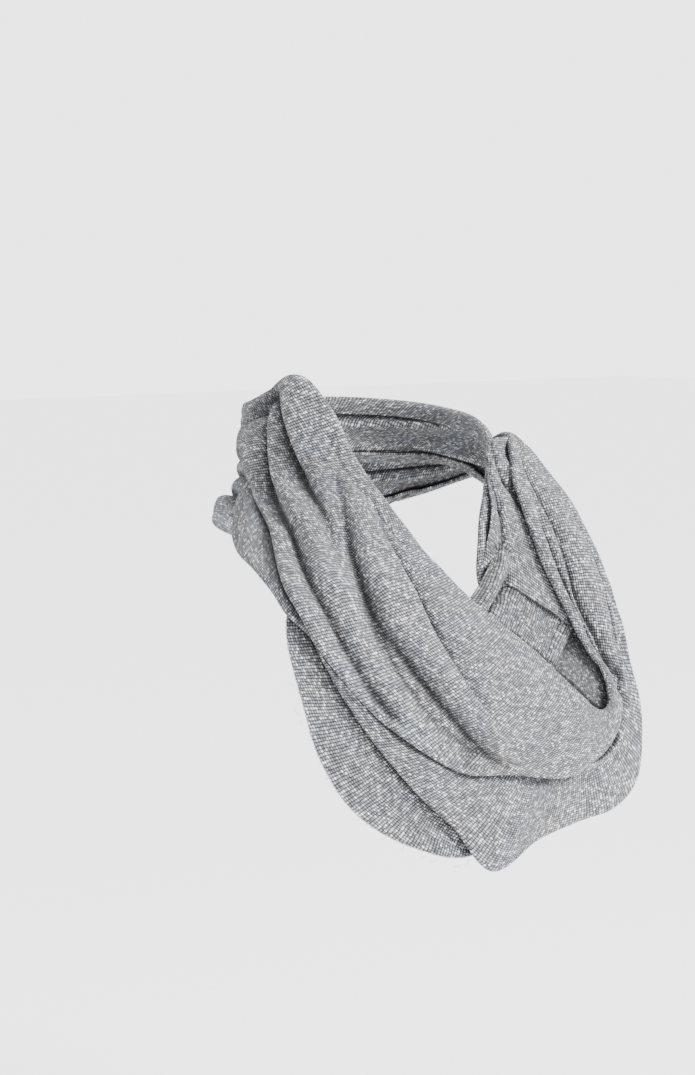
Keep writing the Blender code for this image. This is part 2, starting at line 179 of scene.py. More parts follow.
# The folds. Columns: first and last station; share across the band (0 is the upper edge, 1 the
# lower one) at the start, the middle and the end; depth at the same three; reach; lean.
# A depth below zero is a ridge.
FOLDS = (
    ("nape_2", "sweep_0", 0.42, 0.42, 0.48, 0, 1.5, 14, 5, 0.4),
    ("sweep_0", "sweep_3", 0.48, 0.72, 0.85, 14, 13, 9, 5, 0.4),
    ("sweep_3", "sweep_6", 0.85, 0.87, 0.95, 9, 9, 5, 4.5, 0.0),
    ("nape_2", "sweep_0", 0.24, 0.24, 0.28, 0, 1.5, 13, 5, 0.5),
    ("sweep_0", "sweep_2", 0.28, 0.43, 0.46, 13, 14, 11, 5, 0.5),
    ("sweep_2", "sweep_4", 0.46, 0.56, 0.68, 11, 7, 0, 6, 0.4),
    ("sweep_2", "sweep_5", 0.12, 0.50, 0.655, 0, 8, 12, 6.5, 0.5),
    ("sweep_5", "sweep_8", 0.655, 0.735, 0.94, 12, 12, 0, 6.5, 0.5),
    ("sweep_3", "sweep_7", 0.44, 0.70, 0.83, 0, 7, 4, 6, 0.5),
    ("sweep_3", "sweep_7", 0.18, 0.42, 0.64, 2, 7, 0, 5, -0.5),
    ("sweep_1", "sweep_5", 0.10, 0.16, 0.20, 0, 2.2, 0, 3, -0.4),
    ("sweep_4", "sweep_8", 0.90, 0.93, 0.90, 0, 2, 0, 5, 0.0),
    ("sweep_9", "sweep_11", 0.99, 0.85, 0.64, 2, 7, 8, 2.6, 0.5),
    ("sweep_11", "fall_2", 0.64, 0.63, 0.97, 8, 6, 0, 2.6, 0.5),
    ("fall_1", "fall_4", 0.70, 0.50, 0.37, 5, 13, 14, 4.5, 0.3),
    ("fall_4", "fall_9", 0.37, 0.32, 0.16, 14, 12, 4, 4.5, 0.3),
    ("fall_0", "fall_5", 0.42, 0.28, 0.18, 4, 10, 8, 3.5, 0.3),
    ("fall_5", "fall_7", 0.18, 0.17, 0.17, 8, 4, 0, 3.5, 0.3),
    ("fall_2", "fall_7", 0.92, 0.86, 0.70, 2, 5, 2, 3, 0.0),
    ("fall_5", "side_1", 0.80, 0.66, 0.68, 0, 4, 5, 6, 0.0),
    ("side_0", "nape_low_0", 0.30, 0.40, 0.30, 4, 9, 5, 4.5, 0.4),
    ("nape_low_0", "drape_1", 0.30, 0.28, 0.30, 5, 8, 3, 5, 0.3),
    ("side_1", "nape_low_1", 0.68, 0.62, 0.50, 4, 10, 8, 5, -0.4),
    ("side_1", "nape_low_0", 0.86, 0.84, 0.87, 0, 4, 0, 3, 0.0),
    ("nape_low_1", "drape_1", 0.50, 0.64, 0.90, 8, 9, 3, 4.5, -0.4),
    ("drape_5", "drape_7", 0.98, 0.96, 0.88, -1, -2, -2, 6, 0.0),
    ("drape_7", "drape_9", 0.88, 0.80, 0.70, -2, -2, -3, 6, 0.0),
    ("under_4", "under_9", 0.07, 0.12, 0.09, 2, 6, 4, 2.5, 0.0),
    ("under_4", "under_9", 0.12, 0.20, 0.18, 0, -7, -3, 5, 0.0),
    ("under_4", "under_9", 0.18, 0.29, 0.27, 3, 6, 5, 3, 0.0),
    ("under_9", "nape_0", 0.24, 0.21, 0.20, 5, 4, 4, 4, 0.0),
    ("nape_0", "nape_2", 0.20, 0.34, 0.42, 4, 7, 2, 4, 0.3),
    ("under_8", "nape_1", 0.56, 0.70, 0.62, 0, 8, 0, 5, -0.3),
    ("nape_0", "nape_3", 0.82, 0.76, 0.80, 0, 7, 0, 4, 0.3),
)

# Columns: station; room between the band's outer face and the layer that is folded in behind it;
# shares of the face that are folded in at its upper and at its lower edge.
LINING = (
    ("sweep_0", 6.0, 0.25, 0.12),
    ("sweep_11", 5.5, 0.2, 0.14),
    ("fall_3", 5.0, 0.16, 0.16),
    ("side_1", 6.0, 0.18, 0.18),
    ("nape_low_1", 6.0, 0.18, 0.2),
    ("drape_3", 4.5, 0.1, 0.2),
    ("drape_14", 4.5, 0.1, 0.18),
    ("under_3", 5.5, 0.15, 0.08),
    ("under_9", 5.5, 0.16, 0.1),
    ("nape_2", 6.0, 0.2, 0.17),
)

# The flaps: single layers, with one row for each line that crosses them from edge to edge.
# Columns: turn, out and up of the line's start; the same of its end; how far it bulges.
HEM_FLAP = (
    (125, 139, -54, 121, 145, -54, 0),
    (127, 143, -67, 122.2, 152, -67, 0),
    (131, 144, -83, 124.3, 158, -83, 0),
    (135, 143.3, -101, 126.3, 159.5, -100, 0),
    (141, 140.6, -122, 129.5, 160.5, -129, 0),
    (147, 137, -139, 134.9, 156.5, -156, 0),
    (154, 133, -155, 143, 149.5, -175, 0),
    (159, 131.6, -168, 153.6, 139, -187.5, 0),
    (165, 129.8, -180, 161.8, 132.5, -192.5, 0),
    (169, 129.3, -187, 169, 129.6, -191, 0),
)
TUCKED_FOLD = (
    (214, 76.5, 38.5, 236, 79, 37.5, 4),
    (209, 75.5, 31, 233, 80, 25, 3),
    (200.5, 79.6, 15, 226, 89.5, 6, 2),
    (197.5, 83.6, 0, 221, 101, -18, 3),
    (193.5, 85.8, -13, 218, 114, -41, 3),
    (191, 86.5, -21, 216, 124, -66, 2),
    (187.5, 88, -34, 215, 128, -76, 2),
)
TUCKED_TAB = (
    (193.5, 88.5, -27, 169, 101, -58, 0),
    (197, 92, -25, 174, 103, -64, 3),
    (201, 96, -33, 179, 105, -72, 0),
    (206, 104, -47, 186, 109, -83, 1),
    (211, 113, -60, 193, 114, -95, 1),
    (214, 121, -73, 198, 118, -103, 1),
)
TUCKED_CORNER = (
    (210.5, 109.5, -72, 190, 108, -112, 0),
    (212.7, 116.5, -80, 194.5, 112.5, -117, 0),
    (214.3, 121, -78, 197.5, 117, -122, 0),
    (215.7, 126.7, -81, 200.5, 121.5, -127, 0),
    (217, 132.1, -86, 203.5, 126, -131, 0),
    (217.8, 137.8, -92, 206.5, 131, -134, 0),
    (218.4, 142.3, -98, 209.5, 136, -136, 0),
    (218.8, 145, -101, 211.2, 139.5, -136, 0),
)
# Folds of the flaps, each a straight line. Columns: shares along and across the flap of the line's
# start; the same of its end; depth; reach; lean.
FLAP_FOLDS = {
    "tucked_tab": (
        (0.40, 0.02, 0.36, 0.40, 4.5, 3.0, -0.3),
        (0.36, 0.40, 0.29, 0.95, 4.5, 3.4, -0.3),
        (0.45, 0.0, 1.0, 0.0, -3.5, 9.0, 0.0),
        (0.17, 0.05, 0.14, 0.90, -2.5, 6.0, 0.0),
        (0.58, 0.42, 0.60, 0.85, -0.9, 1.4, 0.0),
        (0.69, 0.32, 0.67, 0.56, -0.9, 1.4, 0.0),
        (0.87, 0.06, 0.86, 0.80, 1.2, 1.3, 0.0),
        (0.94, 0.0, 0.94, 0.90, -1.3, 2.4, 0.0),
        (0.40, 0.07, 1.0, 0.07, 0.8, 1.0, 0.0),
    ),
    "tucked_fold": (
        (0.20, 0.0, 0.50, 0.14, 2.5, 3.0, 0.0),
        (0.50, 0.14, 1.0, 0.19, 3.0, 3.0, 0.0),
        (0.14, 0.0, 0.32, 0.33, 2.5, 3.0, 0.0),
        (0.32, 0.33, 0.45, 0.50, 2.5, 3.0, 0.0),
        (0.0, 0.60, 0.25, 0.62, -3.0, 6.0, 0.0),
        (0.25, 0.40, 0.90, 0.78, -3.0, 6.0, 0.0),
    ),
    "hem_flap": (
        (0.25, 0.30, 0.70, 0.42, 1.6, 7.0, 0.0),
        (0.50, 0.75, 0.92, 0.60, 1.4, 5.0, 0.0),
        (0.62, 0.30, 0.86, 0.40, 1.8, 3.0, 0.0),
    ),
}

# Painted shade lines in a flap's deeper folds, and painted shadow where it goes in behind the layer
# before it. They are placed like the folds. The last two columns: strength, reach.
SHADES = {
    "tucked_tab": (
        (0.0, 0.90, 0.30, 0.81, 0.9, 1.6),
        (0.30, 0.81, 0.55, 0.75, 0.8, 1.6),
        (0.55, 0.75, 1.0, 0.66, 0.8, 1.6),
        (0.40, 0.02, 0.36, 0.40, 0.8, 2.3),
        (0.36, 0.40, 0.30, 0.80, 0.9, 2.8),
    ),
    "tucked_corner": (
        (0.14, 0.42, 1.0, 0.59, 0.9, 1.8),
    ),
    "tucked_fold": (
        (0.20, 0.0, 0.50, 0.14, 0.5, 1.5),
        (0.50, 0.14, 1.0, 0.19, 0.6, 1.5),
        (0.10, 0.0, 0.32, 0.33, 0.6, 1.8),
        (0.32, 0.33, 0.45, 0.50, 0.7, 2.0),
        (0.25, 0.38, 0.90, 0.76, 0.8, 1.6),
    ),
}

# Columns: name; rows; points along and across; metres across and along the flat cut.
FLAPS = (
    ("hem_flap", HEM_FLAP, 201, 41, (0.033, 0.19)),
    ("tucked_fold", TUCKED_FOLD, 91, 51, (0.05, 0.09)),
    ("tucked_tab", TUCKED_TAB, 75, 61, (0.055, 0.075)),
    ("tucked_corner", TUCKED_CORNER, 61, 51, (0.048, 0.053)),
)

# The yarn edgings. Columns: name; flap; its edge, 0 or 1; shares along it of the first and the last
# arc; how far the arcs stand in from the edge, in millimetres; sizes in metres, turns in radians.
SEAM = "tab_stitches"
EDGINGS = (
    ("hem_loops", "hem_flap", 1, 0.02, 0.98, 0.3,
     {"Pitch": 0.0019, "Arc Radius": 0.00075, "Yarn Radius": 0.00028, "Tilt": 0.3, "Seed": 4}),
    ("hem_fibres", "hem_flap", 1, 0.25, 0.98, 0.3,
     {"Pitch": 0.0075, "Arc Radius": 0.0042, "Arc Sweep": 0.9, "Yarn Radius": 0.00011, "Tilt": 0.9,
      "Unevenness": 0.45, "Seed": 9}),
    (SEAM, "tucked_tab", 0, 0.42, 0.97, 2.2,
     {"Pitch": 0.0032, "Arc Radius": 0.0008, "Yarn Radius": 0.00024, "Tilt": 0.5, "Seed": 6}),
)
EDGE_POINTS = (161, 41)
EDGE_COLUMNS = 3      # the way out of an edge is read over so many of them

# The studio, in metres, degrees and watts.
# Columns of the lights: name; azimuth; elevation; distance; size; power.
LIGHTS = (
    ("key_softbox", 15, 25, 2.2, 1.0, 71),
    ("side_softbox", -110, 20, 2.4, 1.2, 6),
    ("low_softbox", -15, -9, 2.2, 1.2, 9),
)
FLOOR = -0.42
FLOOR_REACH = 8
FLOOR_GREY = 0.93
FLOOR_GLOW = 2.2
ROOM_LIGHT = 0.95
PAPER_WHITE = 3.4
CAMERA_TURN = -40
CAMERA_RISE = 5
CAMERA_DISTANCE = 2.2
SENSOR = 36.0         # millimetres
PICTURE_HEIGHT = 1075    # pixels
PIXELS_A_METRE = 1690
PICTURE_MIDDLE = (-22.5, -37.5)    # pixels to the right of the origin and above it


# ---------------------------------------------------------------- the band's shape

def figure_radius(turn, up):
    """Distance from the neck's axis to the figure's skin."""
    across = np.radians(turn)
    rows = np.array(FIGURE, float)[::-1]
    half_width = np.interp(up, rows[:, 0], rows[:, 1])
    half_depth = np.interp(up, rows[:, 0], rows[:, 2])
    wide = (np.abs(np.sin(across)) / half_width) ** FIGURE_SQUARENESS
    deep = (np.abs(np.cos(across)) / half_depth) ** FIGURE_SQUARENESS
    return (wide + deep) ** (-1 / FIGURE_SQUARENESS)


def place(turn, out, up):
    """A point from its turn, its distance from the axis and its height, in millimetres."""
    across = np.radians(turn)
    return np.stack([-out * np.sin(across), out * np.cos(across), up], -1)


def between_edges(sizes, across):
    """Turn, out and up between the two edges whose own are the first six sizes."""
    return (sizes[..., k] * (1 - across) + sizes[..., k + 3] * across for k in range(3))


def unit(vectors):
    """The same directions, each of length 1."""
    return vectors / np.maximum(np.linalg.norm(vectors, axis=-1, keepdims=True), 1e-9)


def blend_rows(row_at, along):
    """Catmull-Rom curve through the rows of a table."""
    index = np.floor(along).astype(int)
    f = (along - index)[..., None]
    before, start, end, after = (row_at(index + step) for step in (-1, 0, 1, 2))
    line = 2 * start + (end - before) * f
    bend = (2 * before - 5 * start + 4 * end - after) * f ** 2
    return 0.5 * (line + bend + (3 * start - before - 3 * end + after) * f ** 3)


def winding_row(index):
    """The station's sizes; past the last one the winding starts again, two turns further on."""
    sizes = STATION_SIZES[np.mod(index, STATION_COUNT)].copy()
    rounds = np.floor_divide(index, STATION_COUNT) * WINDING
    sizes[..., 0] += rounds
    sizes[..., 3] += rounds
    return sizes


def band_point(along, across):
    """The smooth band without its folds: a point and the station's sizes there."""
    sizes = blend_rows(winding_row, along)
    turn, out, up = between_edges(sizes, across)
    resting = figure_radius(turn, up) + sizes[..., 7]
    lifted = 0.5 * (out + resting + np.sqrt((out - resting) ** 2 + SMOOTH_STEP ** 2))
    return place(turn, lifted, up), sizes


def slopes(along, across):
    """How far the smooth band goes from a step before to a step after, along it and across it."""
    step = SLOPE_STEP
    run = band_point(along + step, across)[0] - band_point(along - step, across)[0]
    return run, band_point(along, across + step)[0] - band_point(along, across - step)[0]


def outward(along, across):
    """Unit normals of the smooth band, pointing away from the neck."""
    run, side = slopes(along, across)
    normals = unit(np.cross(side, run))
    flat = band_point(along, across)[0]
    flat[..., 2] = 0
    return normals * np.sign(np.sum(normals * flat, axis=-1).mean())


def mean_width(scales):
    """The band's width, from its scales at 0, 1/2 and 1 across it."""
    return np.dot(scales, (1, 4, 1)) / 6


def three_way(first, middle, last, f):
    """A value that passes through three numbers at 0, 1/2 and 1."""
    return first * (1 - f) * (1 - 2 * f) + 4 * middle * f * (1 - f) + last * f * (2 * f - 1)


def groove(x):
    """The slot between two rolls of cloth pressed together, 1 deep at 0."""
    away = np.hypot(x, GROOVE_ROUND)
    slope = np.exp(GROOVE_ROUND - away)
    shoulder = 1 - np.sqrt(1 - (1 - np.clip(away / SHOULDER, 0, 1)) ** 2)
    deepest = 1 - math.sqrt(1 - (1 - GROOVE_ROUND / SHOULDER) ** 2)
    return slope + ROLLED * (shoulder / deepest - slope)


def folds_height(along, across, width):
    """Height of all the folds at one station, over the bulged band, and the painted shade at their
    bottoms.
    """
    height, shade = np.zeros_like(across), np.zeros_like(across)
    for first, last, a0, a1, a2, d0, d1, d2, reach, lean in FOLDS:
        start = STATION_NAMES.index(first)
        end = STATION_NAMES.index(last)
        end += STATION_COUNT * (end < start)
        for rounds in (-STATION_COUNT, 0, STATION_COUNT):
            f = (along + rounds - start) / (end - start)
            if 0 <= f <= 1:
                x = (across - three_way(a0, a1, a2, f)) * width
                side = np.where(x > 0, 1 + lean, 1 - lean)
                depth = three_way(d0, d1, d2, f)
                height -= depth * groove(x / (reach * side))
                darkest = FOLD_SHADE * max(depth, 0) / DEEPEST_FOLD
                line = np.exp(-(x / (SHADE_BREADTH * reach * side)) ** 2)
                shade = np.maximum(shade, darkest * line)
    return DEEPEST_FOLD * np.tanh(height / DEEPEST_FOLD), shade


def lining_at(along):
    """Room behind the face, and the shares folded in at the upper and the lower edge."""
    stations = [STATION_NAMES.index(row[0]) for row in LINING]
    return [np.interp(along, stations, [row[k] for row in LINING], period=STATION_COUNT)
            for k in (1, 2, 3)]


def across_scale(along, across):
    """Millimetres square to the band's run for a whole share across it."""
    run, side = slopes(along, across)
    run, side = unit(run), side / (2 * SLOPE_STEP)
    return np.linalg.norm(side - run * np.sum(side * run, axis=-1, keepdims=True), axis=-1)


def relief(along, share, scales, bulge):
    """Height of the band's face over the smooth band at shares of its width, and its folds' shade."""
    width = mean_width(scales)
    arch = np.clip(4 * share * (1 - share), 0, None) ** ARCH
    nearest = np.minimum(share * scales[0], (1 - share) * scales[2])
    fade = np.clip(nearest / EDGE_FADE, 0, 1)
    height, shade = folds_height(along, share, width)
    return bulge * arch + height * fade, shade * fade


def band_section(along):
    """One line across the band, from the end of its lining, over both folded edges, to its tuck.

    Gives each point's share across the band, its height off it and its folds' shade.
    """
    scales = across_scale(np.full(3, along), np.array([0.0, 0.5, 1.0]))
    bulge = band_point(np.array([along]), np.array([0.5]))[1][0, 6]
    gap, lined, tucked = lining_at(along)
    half = min(gap, THICKEST_EDGE * mean_width(scales)) / 2
    top, low = half / scales[0], half / scales[2]
    span = 1 - top - low
    face_share = top + span * np.linspace(0, 1, FACE_CELLS + 1)
    face, face_shade = relief(along, face_share, scales, bulge)
    lining_share = top + span * lined * np.linspace(1, 0, LINING_CELLS + 1)[:-1]
    lining = relief(along, lining_share, scales, bulge)[0] - face[0]
    tuck_share = 1 - low - span * tucked * np.linspace(0, 1, TUCK_CELLS + 1)[1:]
    tuck = relief(along, tuck_share, scales, bulge)[0] - face[-1]

    bend = np.linspace(0, np.pi, ROLL_CELLS + 1)
    roll_height = half * (np.cos(bend) - 1)
    roll_share = 1 - np.sin(bend)
    across = np.concatenate([lining_share, top * roll_share[::-1], face_share[1:-1],
                             1 - low * roll_share, tuck_share])
    height = np.concatenate([BACK_FOLLOWS * lining + face[0] - 2 * half,
                             face[0] + roll_height[::-1], face[1:-1], face[-1] + roll_height,
                             BACK_FOLLOWS * tuck + face[-1] - 2 * half])
    hidden = (len(lining) + ROLL_CELLS, ROLL_CELLS + len(tuck))
    return across, height, np.pad(face_shade, hidden)


def even_rows(count):
    """Places in the winding, evenly spaced in millimetres, with the run to each of them."""
    dense = np.linspace(JOIN, JOIN + STATION_COUNT, RUN_LINES * STATION_COUNT + 1)
    runs = []
    for across in (0.0, 0.5, 1.0):
        steps = np.diff(band_point(dense, np.full(dense.shape, across))[0], axis=0)
        runs.append(np.concatenate([[0], np.cumsum(np.linalg.norm(steps, axis=-1))]))
    mean = np.mean(runs, axis=0)
    along = np.interp(np.linspace(0, mean[-1], count + 1), mean, dense)
    return along, np.interp(along, dense, runs[1])


def slack(run, side, whole, seed, depth):
    """Small uneven waves of loose cloth; they meet again after the whole run."""
    rng = np.random.default_rng(seed)
    height = np.zeros(np.broadcast(run, side).shape)
    for _ in range(WAVES):
        rounds = rng.integers(*WAVE_ROUNDS)
        breadth = rng.uniform(*WAVE_BREADTHS) * rng.choice((-1, 1))
        phase = rng.uniform(0, 2 * np.pi)
        turns = rounds * run / whole + side / breadth
        height += np.sin(2 * np.pi * turns + phase) / (1 + rounds / LONG_WAVE)
    return depth * height / WAVE_SUM


# ---------------------------------------------------------------- meshes

def add_object(name, data):
    """An object in the scene."""
    made = bpy.data.objects.new(name, data)
    bpy.context.scene.collection.objects.link(made)
    return made


def grid_slope(grid, axis, closed=False):
    """Slope at each point of a grid, the mean of the directions to its two neighbours."""
    if closed:
        grid = np.concatenate([grid[-1:], grid, grid[:1]], axis=0)
    steps = unit(np.diff(grid, axis=axis))
    if closed:
        return steps[:-1] + steps[1:]
    ends = [(1, 0), (0, 0), (0, 0)] if axis == 0 else [(0, 0), (1, 0), (0, 0)]
    before = np.pad(steps, ends, mode="edge")
    after = np.pad(steps, [pad[::-1] for pad in ends], mode="edge")
    return before + after


def wall_normals(grid, closed=False):
    """Unit normals of a grid of points."""
    return unit(np.cross(grid_slope(grid, 1), grid_slope(grid, 0, closed)))


def numbered(grid, first=0):
    """The numbers of a grid's points, counted on from the first one's."""
    return first + np.arange(grid.shape[0] * grid.shape[1]).reshape(grid.shape[:2])


def cells(index, closed=False):
    """The four corners of each cell of a grid; a closed one's last line meets its first."""
    before, after = (index, np.roll(index, -1, 0)) if closed else (index[:-1], index[1:])
    return np.stack([before[:, :-1], before[:, 1:], after[:, 1:], after[:, :-1]], -1).reshape(-1, 4)


def blurred(grid, rounds, closed):
    """The grid smoothed along and across, to tell crests from hollows."""
    for _ in range(rounds):
        if closed:
            grid = 0.25 * np.roll(grid, 1, 0) + 0.5 * grid + 0.25 * np.roll(grid, -1, 0)
        padded = np.pad(grid, [(0, 0), (1, 1), (0, 0)], mode="edge")
        grid = 0.25 * padded[:, :-2] + 0.5 * grid + 0.25 * padded[:, 2:]
    return grid


def store(mesh, name, values):
    """Keeps a value on every point; points past the last value get 0."""
    attribute = mesh.attributes.new(name, "FLOAT", "POINT")
    values = np.pad(values.ravel(), (0, len(mesh.vertices) - values.size))
    attribute.data.foreach_set("value", values.astype(np.float32))


def crest_and_hollow(grid, normals, closed, rounds, full):
    """How far each point stands out of its surroundings, from -1 in a hollow to 1 on a crest."""
    rise = np.sum((grid - blurred(grid, rounds, closed)) * normals, axis=-1)
    return np.clip(rise / full, -1, 1)


def crease_ways():
    """The ways in which a point looks round: off the cloth, sideways on it and up along it."""
    ways = []
    for ring in range(CREASE_RINGS):
        lift = math.sqrt(1 - (ring + 0.5) / CREASE_RINGS)
        flat = math.sqrt(1 - lift ** 2)
        for spoke in range(CREASE_SPOKES):
            turn = 2 * math.pi * (spoke + 0.5 * (ring % 2)) / CREASE_SPOKES
            ways.append((lift, flat * math.cos(turn), flat * math.sin(turn)))
    return ways


def shade_creases(pieces):
    """Stores on every point how much cloth closes it in: 0 in the open, 1 deep in a crease. The knit's
    colour is darkened by it as painted shade.
    """
    points, faces = [], []
    for piece in pieces:
        first = len(points)
        points += [vertex.co for vertex in piece.data.vertices]
        faces += [[first + corner for corner in face.vertices] for face in piece.data.polygons]
    tree = BVHTree.FromPolygons(points, faces)
    looks = crease_ways()
    for piece in pieces:
        mesh = piece.data
        count = len(mesh.vertices)
        place_of = np.empty(count * 3)
        mesh.vertices.foreach_get("co", place_of)
        facing = np.empty(count * 3)
        mesh.vertex_normals.foreach_get("vector", facing)
        facing = facing.reshape(-1, 3)
        start = place_of.reshape(-1, 3) + facing * CREASE_START
        sideways = unit(np.cross(facing, (0.0, 0.0, 1.0)) + 1e-6)
        upward = np.cross(sideways, facing)
        closed_in = np.zeros(count)
        for off, beside, above in looks:
            ways = facing * off + sideways * beside + upward * above
            for number, (origin, way) in enumerate(zip(start.tolist(), ways.tolist())):
                distance = tree.ray_cast(origin, way, CREASE_REACH)[3]
                if distance is not None:
                    closed_in[number] += 1 - distance / CREASE_REACH
                    if distance < CONTACT_REACH:
                        closed_in[number] += CONTACT_WEIGHT * (1 - distance / CONTACT_REACH)
        store(mesh, "crease", closed_in / len(looks))


def finish_mesh(name, points, faces, places, crest, shade, material):
    """A mesh object with its knit map (metres along and across the cloth), its crests and hollows for
    painted light and its painted shade lines.
    """
    mesh = bpy.data.meshes.new(name)
    mesh.from_pydata(points.tolist(), [], [tuple(face) for face in faces])
    corner_map = mesh.uv_layers.new(name="knit_map")
    corner_map.data.foreach_set("uv", places.astype(np.float32).ravel())
    store(mesh, "relief", crest)
    store(mesh, "shade", shade)
    mesh.shade_smooth()
    mesh.set_sharp_from_angle(angle=math.radians(SHARPEST_BEND))
    mesh.materials.append(material)
    return add_object(name, mesh)


def across_runs(grid):
    """Millimetres across the cloth, counted from its middle column."""
    steps = np.linalg.norm(np.diff(grid, axis=1), axis=-1)
    runs = np.concatenate([np.zeros((len(grid), 1)), np.cumsum(steps, axis=1)], axis=1)
    return runs - runs[:, grid.shape[1] // 2][:, None]


def make_band(material):
    """The whole winding in one closed wall of knit; the wall's inner side has half the lines."""
    along, runs = even_rows(ROWS)
    whole_run = round(runs[-1] / RIB_PITCH) * RIB_PITCH
    runs = runs * whole_run / runs[-1]
    sections = [band_section(place_along) for place_along in along[:-1]]
    across = np.array([section[0] for section in sections])
    height, shade = (np.array([section[k] for section in sections]) for k in (1, 2))
    stations = np.repeat(along[:-1, None], across.shape[1], axis=1)
    smooth = band_point(stations, across)[0]
    normals = outward(stations, across)
    rough = smooth + normals * height[..., None]
    side = across_runs(rough)
    height += slack(runs[:-1, None], side, whole_run, BAND_SEED, BAND_SLACK)
    grid = smooth + normals * height[..., None]
    middle = (0, LINING_CELLS + ROLL_CELLS + FACE_CELLS // 2)
    if np.dot(wall_normals(grid, True)[middle], normals[middle]) < 0:
        grid, shade = grid[:, ::-1], shade[:, ::-1]
    side = across_runs(grid)
    skin = wall_normals(grid, True)
    crest = crest_and_hollow(grid, skin, True, *BAND_CREST)
    inner = (grid - WALL * skin)[::2, ::2]

    outer_index = numbered(grid)
    inner_index = numbered(inner, outer_index.size)

    def lips(column_outer, column_inner):
        first = outer_index[::2, column_outer]
        middle = outer_index[1::2, column_outer]
        last = np.roll(first, -1)
        near = inner_index[:, column_inner]
        far = np.roll(near, -1)
        return np.stack([first, middle, last, far, near], -1)

    faces = (cells(outer_index, True).tolist() + cells(inner_index, True)[:, TURNED].tolist()
             + lips(0, 0).tolist() + lips(-1, -1)[:, ::-1].tolist())
    point_run = np.concatenate([np.repeat(runs[:-1, None], grid.shape[1], 1).ravel(),
                                np.repeat(runs[:-1:2, None], inner.shape[1], 1).ravel()])
    point_side = np.concatenate([side.ravel(), side[::2, ::2].ravel()])
    corners = np.concatenate([np.array(face) for face in faces])
    sizes = np.array([len(face) for face in faces])
    corner_run = point_run[corners]
    starts = np.concatenate([[0], np.cumsum(sizes)[:-1]])
    longest = np.repeat(np.maximum.reduceat(corner_run, starts), sizes)
    corner_run = np.where(longest - corner_run > whole_run / 2, corner_run + whole_run, corner_run)
    places = np.stack([corner_run, point_side[corners]], -1) * MM
    points = np.concatenate([grid.reshape(-1, 3), inner.reshape(-1, 3)]) * MM
    return finish_mesh("knit_loop", points, faces, places, crest, shade, material)


def flap_points(rows, count_along, count_across):
    """Points of a flap: a curve through its rows, bulged between its two edges."""
    table = np.array(rows, float)

    def row_at(index):
        inside = np.clip(index, 0, len(table) - 1)
        beyond = (index - inside)[..., None]
        ends = np.where(beyond < 0, table[1] - table[0], table[-1] - table[-2])
        return table[inside] + beyond * ends

    along, across = np.meshgrid(np.linspace(0, len(table) - 1, count_along),
                                np.linspace(0, 1, count_across), indexing="ij")
    sizes = blend_rows(row_at, along)
    turn, out, up = between_edges(sizes, across)
    return place(turn, out + sizes[..., 6] * 4 * across * (1 - across), up), along, across


def from_line(u, v, ends, length, width):
    """Millimetres from a line on a flap, above zero on one side of it and below on the other."""
    u0, v0, u1, v1 = ends
    run = np.array([(u1 - u0) * length, (v1 - v0) * width])
    x, y = (u - u0) * length, (v - v0) * width
    f = np.clip((x * run[0] + y * run[1]) / (run @ run), 0, 1)
    side = np.sign(run[0] * y - run[1] * x)
    return side * np.hypot(x - f * run[0], y - f * run[1])


def flap_relief(name, along, across, length, width):
    """Height of a flap's folds, and how dark its painted shade lines are."""
    u = along / along.max()
    height, shade = np.zeros_like(u), np.zeros_like(u)
    for *ends, depth, reach, lean in FLAP_FOLDS.get(name, ()):
        x = from_line(u, across, ends, length, width)
        height -= depth * groove(x / (reach * np.where(x > 0, 1 + lean, 1 - lean)))
    for *ends, strength, reach in SHADES.get(name, ()):
        x = from_line(u, across, ends, length, width)
        shade = np.maximum(shade, strength * np.exp(-(x / reach) ** 2))
    return height, shade


def make_flap(name, rows, count_along, count_across, material):
    """A flap as a closed wall of knit; the same painted shade lines are on both its sides."""
    grid, along, across = flap_points(rows, count_along, count_across)
    middle = (count_along // 2, count_across // 2)
    if np.dot(wall_normals(grid)[middle][:2], grid[middle][:2]) < 0:
        grid, along, across = grid[:, ::-1], along[:, ::-1], across[:, ::-1]
    skin = wall_normals(grid)
    steps = np.linalg.norm(np.diff(grid, axis=0), axis=-1).mean(axis=1)
    run = np.concatenate([[0], np.cumsum(steps)])
    side = across_runs(grid)
    width = np.ptp(side, axis=1).mean()
    height, shade = flap_relief(name, along, across, run[-1], width)
    height += slack(run[:, None], side, FLAP_ROUND, len(name), FLAP_SLACK)
    grid = grid + skin * height[..., None]
    crest = crest_and_hollow(grid, skin, False, *FLAP_CREST)
    inner = grid - WALL * skin
    index = numbered(grid)
    rim = np.concatenate([index[0, :-1], index[:-1, -1], index[-1, :0:-1], index[:0:-1, 0]])
    after = np.roll(rim, -1)
    lip = np.stack([after, rim, rim + index.size, after + index.size], -1)
    faces = np.concatenate([cells(index), cells(index)[:, TURNED] + index.size, lip])
    points = np.concatenate([grid.reshape(-1, 3), inner.reshape(-1, 3)]) * MM
    place_on = np.stack([np.repeat(run[:, None], grid.shape[1], 1).ravel(), side.ravel()], -1) * MM
    places = np.concatenate([place_on, place_on])[faces.ravel()]
    return finish_mesh(name + "_knit", points, faces, places, crest, np.stack([shade, shade]), material)


# ---------------------------------------------------------------- materials

